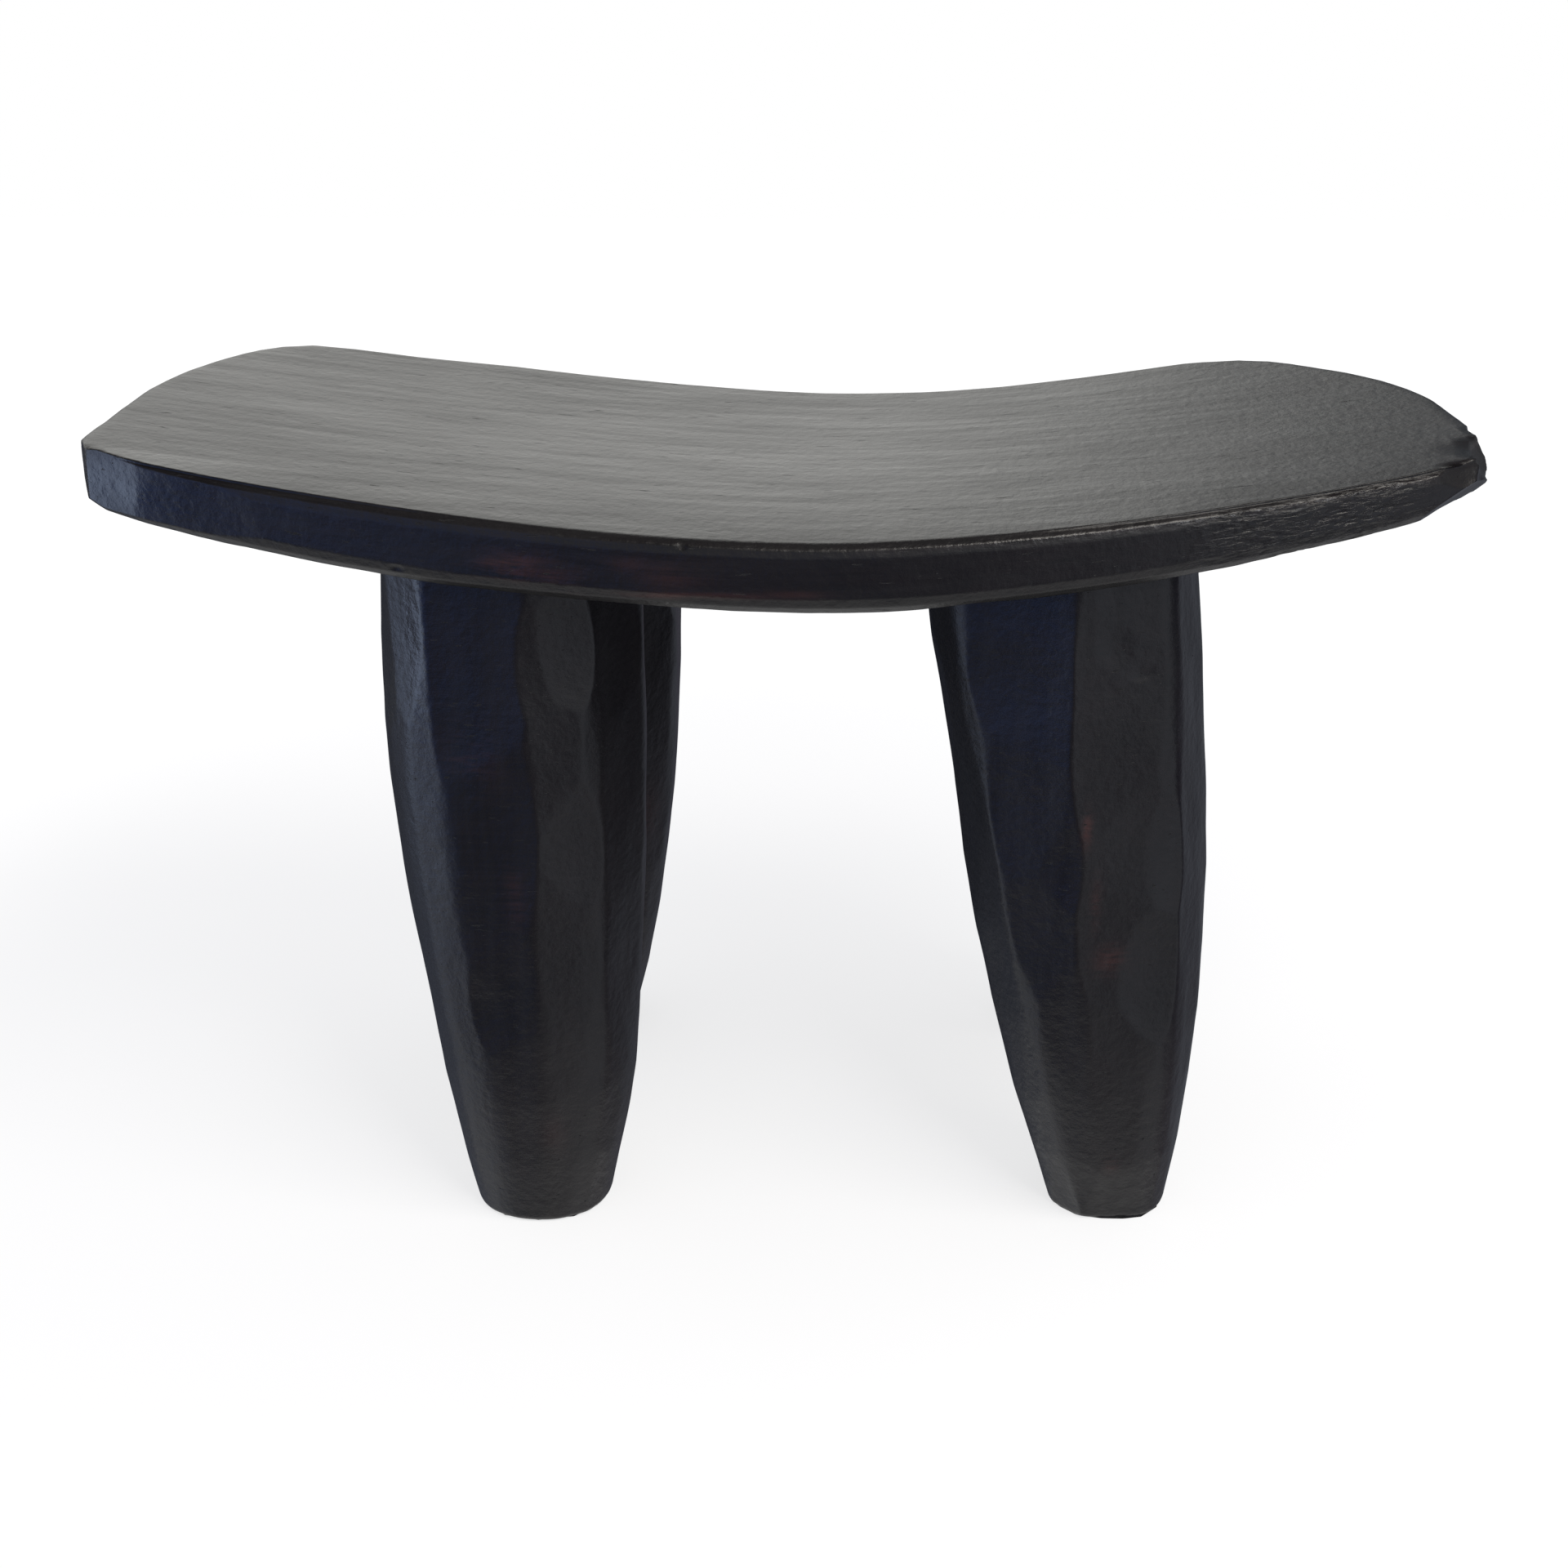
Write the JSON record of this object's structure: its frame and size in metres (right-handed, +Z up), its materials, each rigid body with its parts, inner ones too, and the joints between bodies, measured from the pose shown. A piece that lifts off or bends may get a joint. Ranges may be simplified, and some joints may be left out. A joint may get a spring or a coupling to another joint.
{
  "type": "carved wooden bench",
  "caption": "Low wooden bench with a dished, bow-edged seat on stout tapering legs, hand-cut and stained near-black with a waxed satin surface.",
  "frame": {"origin": "on the floor, under the middle of the seat's plan", "axes": "+X along the seat to the viewer's right, +Y from the front edge to the back edge, +Z up"},
  "size_m": [0.7, 0.34, 0.4353],
  "materials": {
    "stained_wood": "satin"
  },
  "bodies": {
    "root": {"seat": "stained_wood", "front_left_leg": "stained_wood", "front_right_leg": "stained_wood", "back_left_leg": "stained_wood", "back_right_leg": "stained_wood"}
  },
  "joints": []
}
